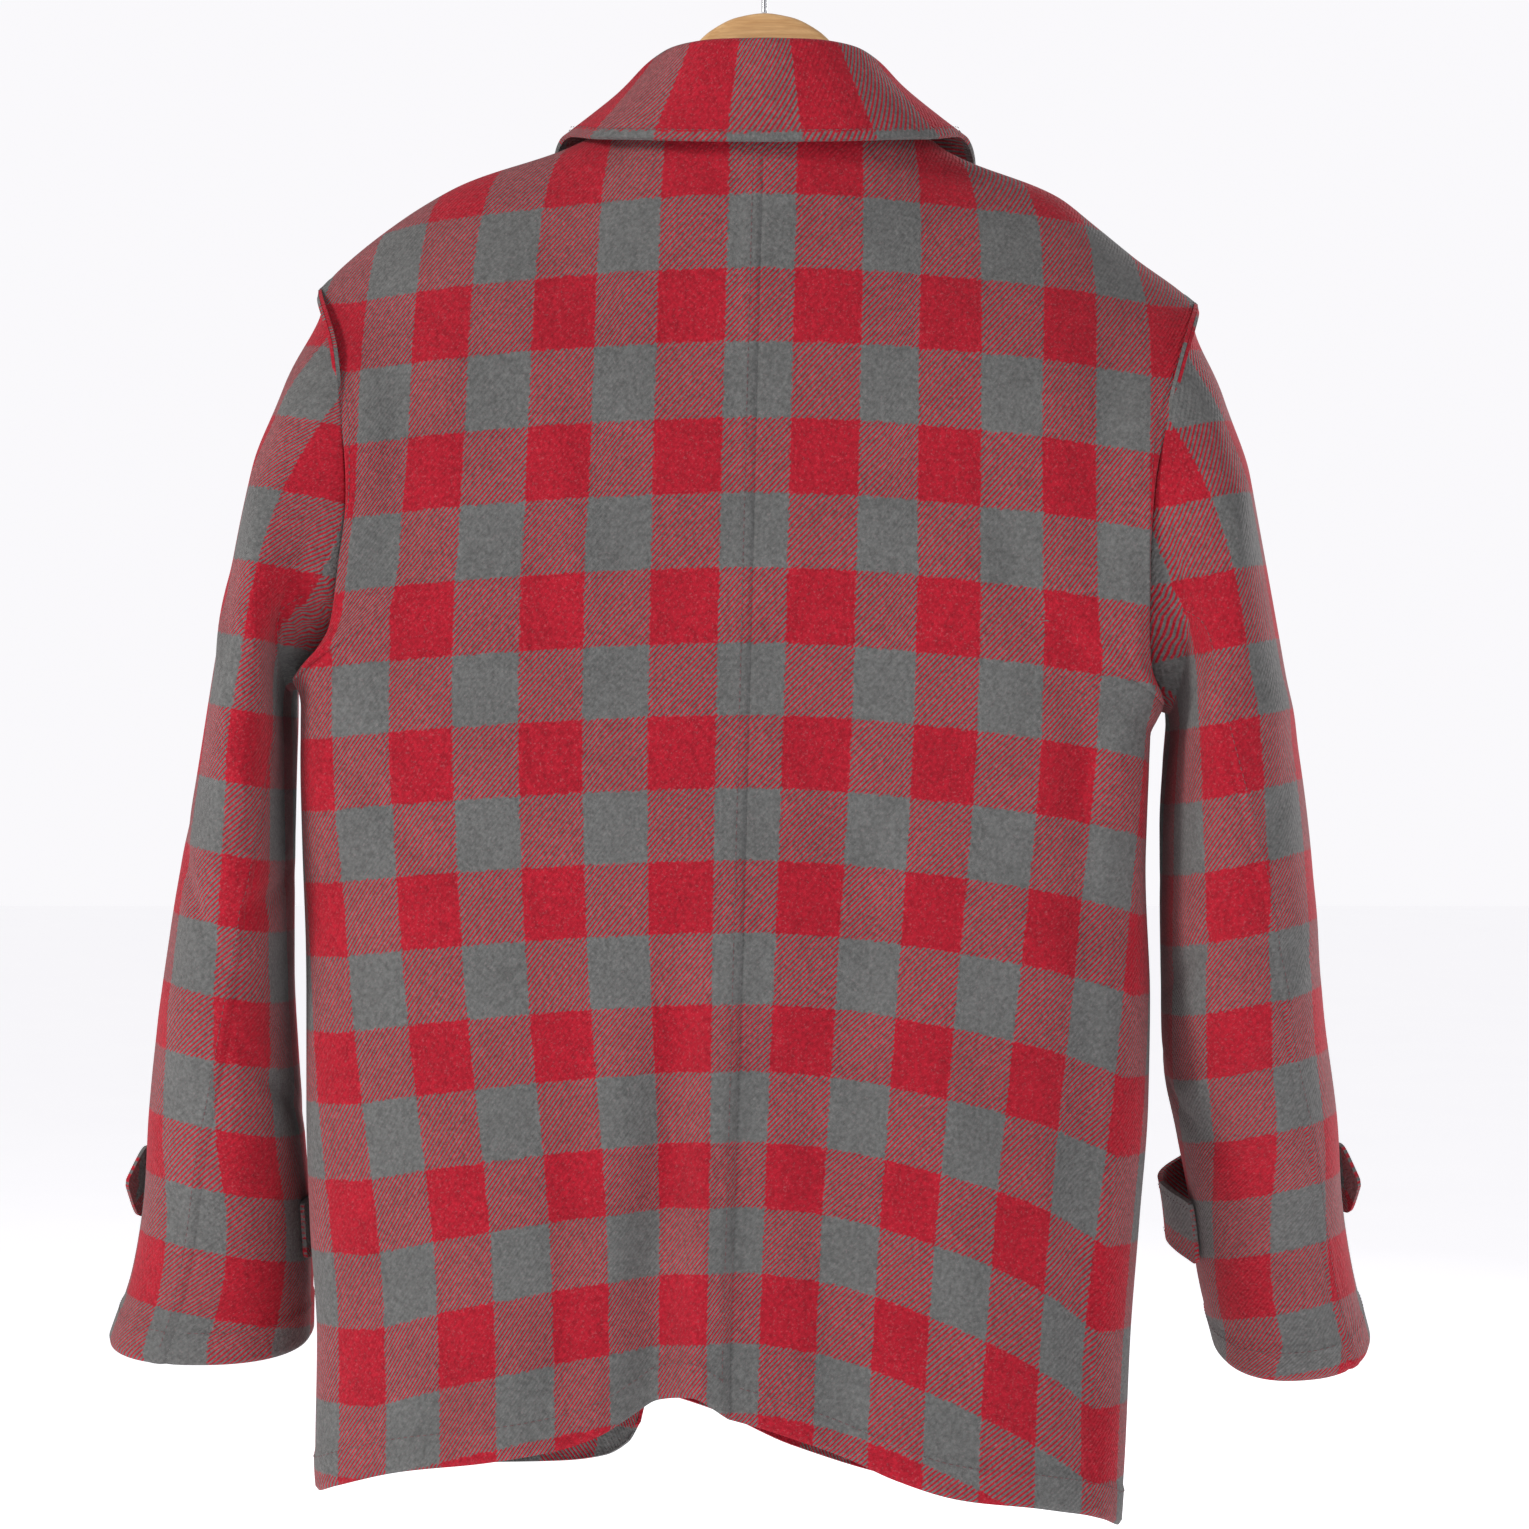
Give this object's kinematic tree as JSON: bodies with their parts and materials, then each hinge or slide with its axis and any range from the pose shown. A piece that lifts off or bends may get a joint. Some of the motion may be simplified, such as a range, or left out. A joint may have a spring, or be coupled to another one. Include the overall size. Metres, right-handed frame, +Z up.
{
  "type": "shirt jacket on a hanger",
  "caption": "Checked wool shirt jacket with a turned-down collar, two-piece sleeves and cuff tabs, hung on a wooden hanger with a wire hook.",
  "frame": {"origin": "inner top of the hanger's hook, where a rail along Y bears", "axes": "+Z up, the wearer's front faces -Y, the wearer's left is +X"},
  "size_m": [0.7328, 0.2452, 0.939],
  "materials": {
    "checked_wool": "felted wool twill, red and grey check",
    "button_horn": "satin, horn effect",
    "hanger_wood": "clear varnished pale wood",
    "hook_wire": "bright plated wire"
  },
  "bodies": {
    "root": {"back_left": "checked_wool", "back_right": "checked_wool", "front_left": "checked_wool", "front_right": "checked_wool", "sleeve_left_upper": "checked_wool", "sleeve_left_under": "checked_wool", "sleeve_right_upper": "checked_wool", "sleeve_right_under": "checked_wool", "collar": "checked_wool", "cuff_tab_left": "checked_wool", "cuff_tab_right": "checked_wool", "tab_button_left": "button_horn", "tab_button_right": "button_horn", "front_button_1": "button_horn", "front_button_2": "button_horn", "front_button_3": "button_horn", "front_button_4": "button_horn", "front_button_5": "button_horn", "hanger": "hanger_wood", "hook": "hook_wire"}
  },
  "joints": []
}
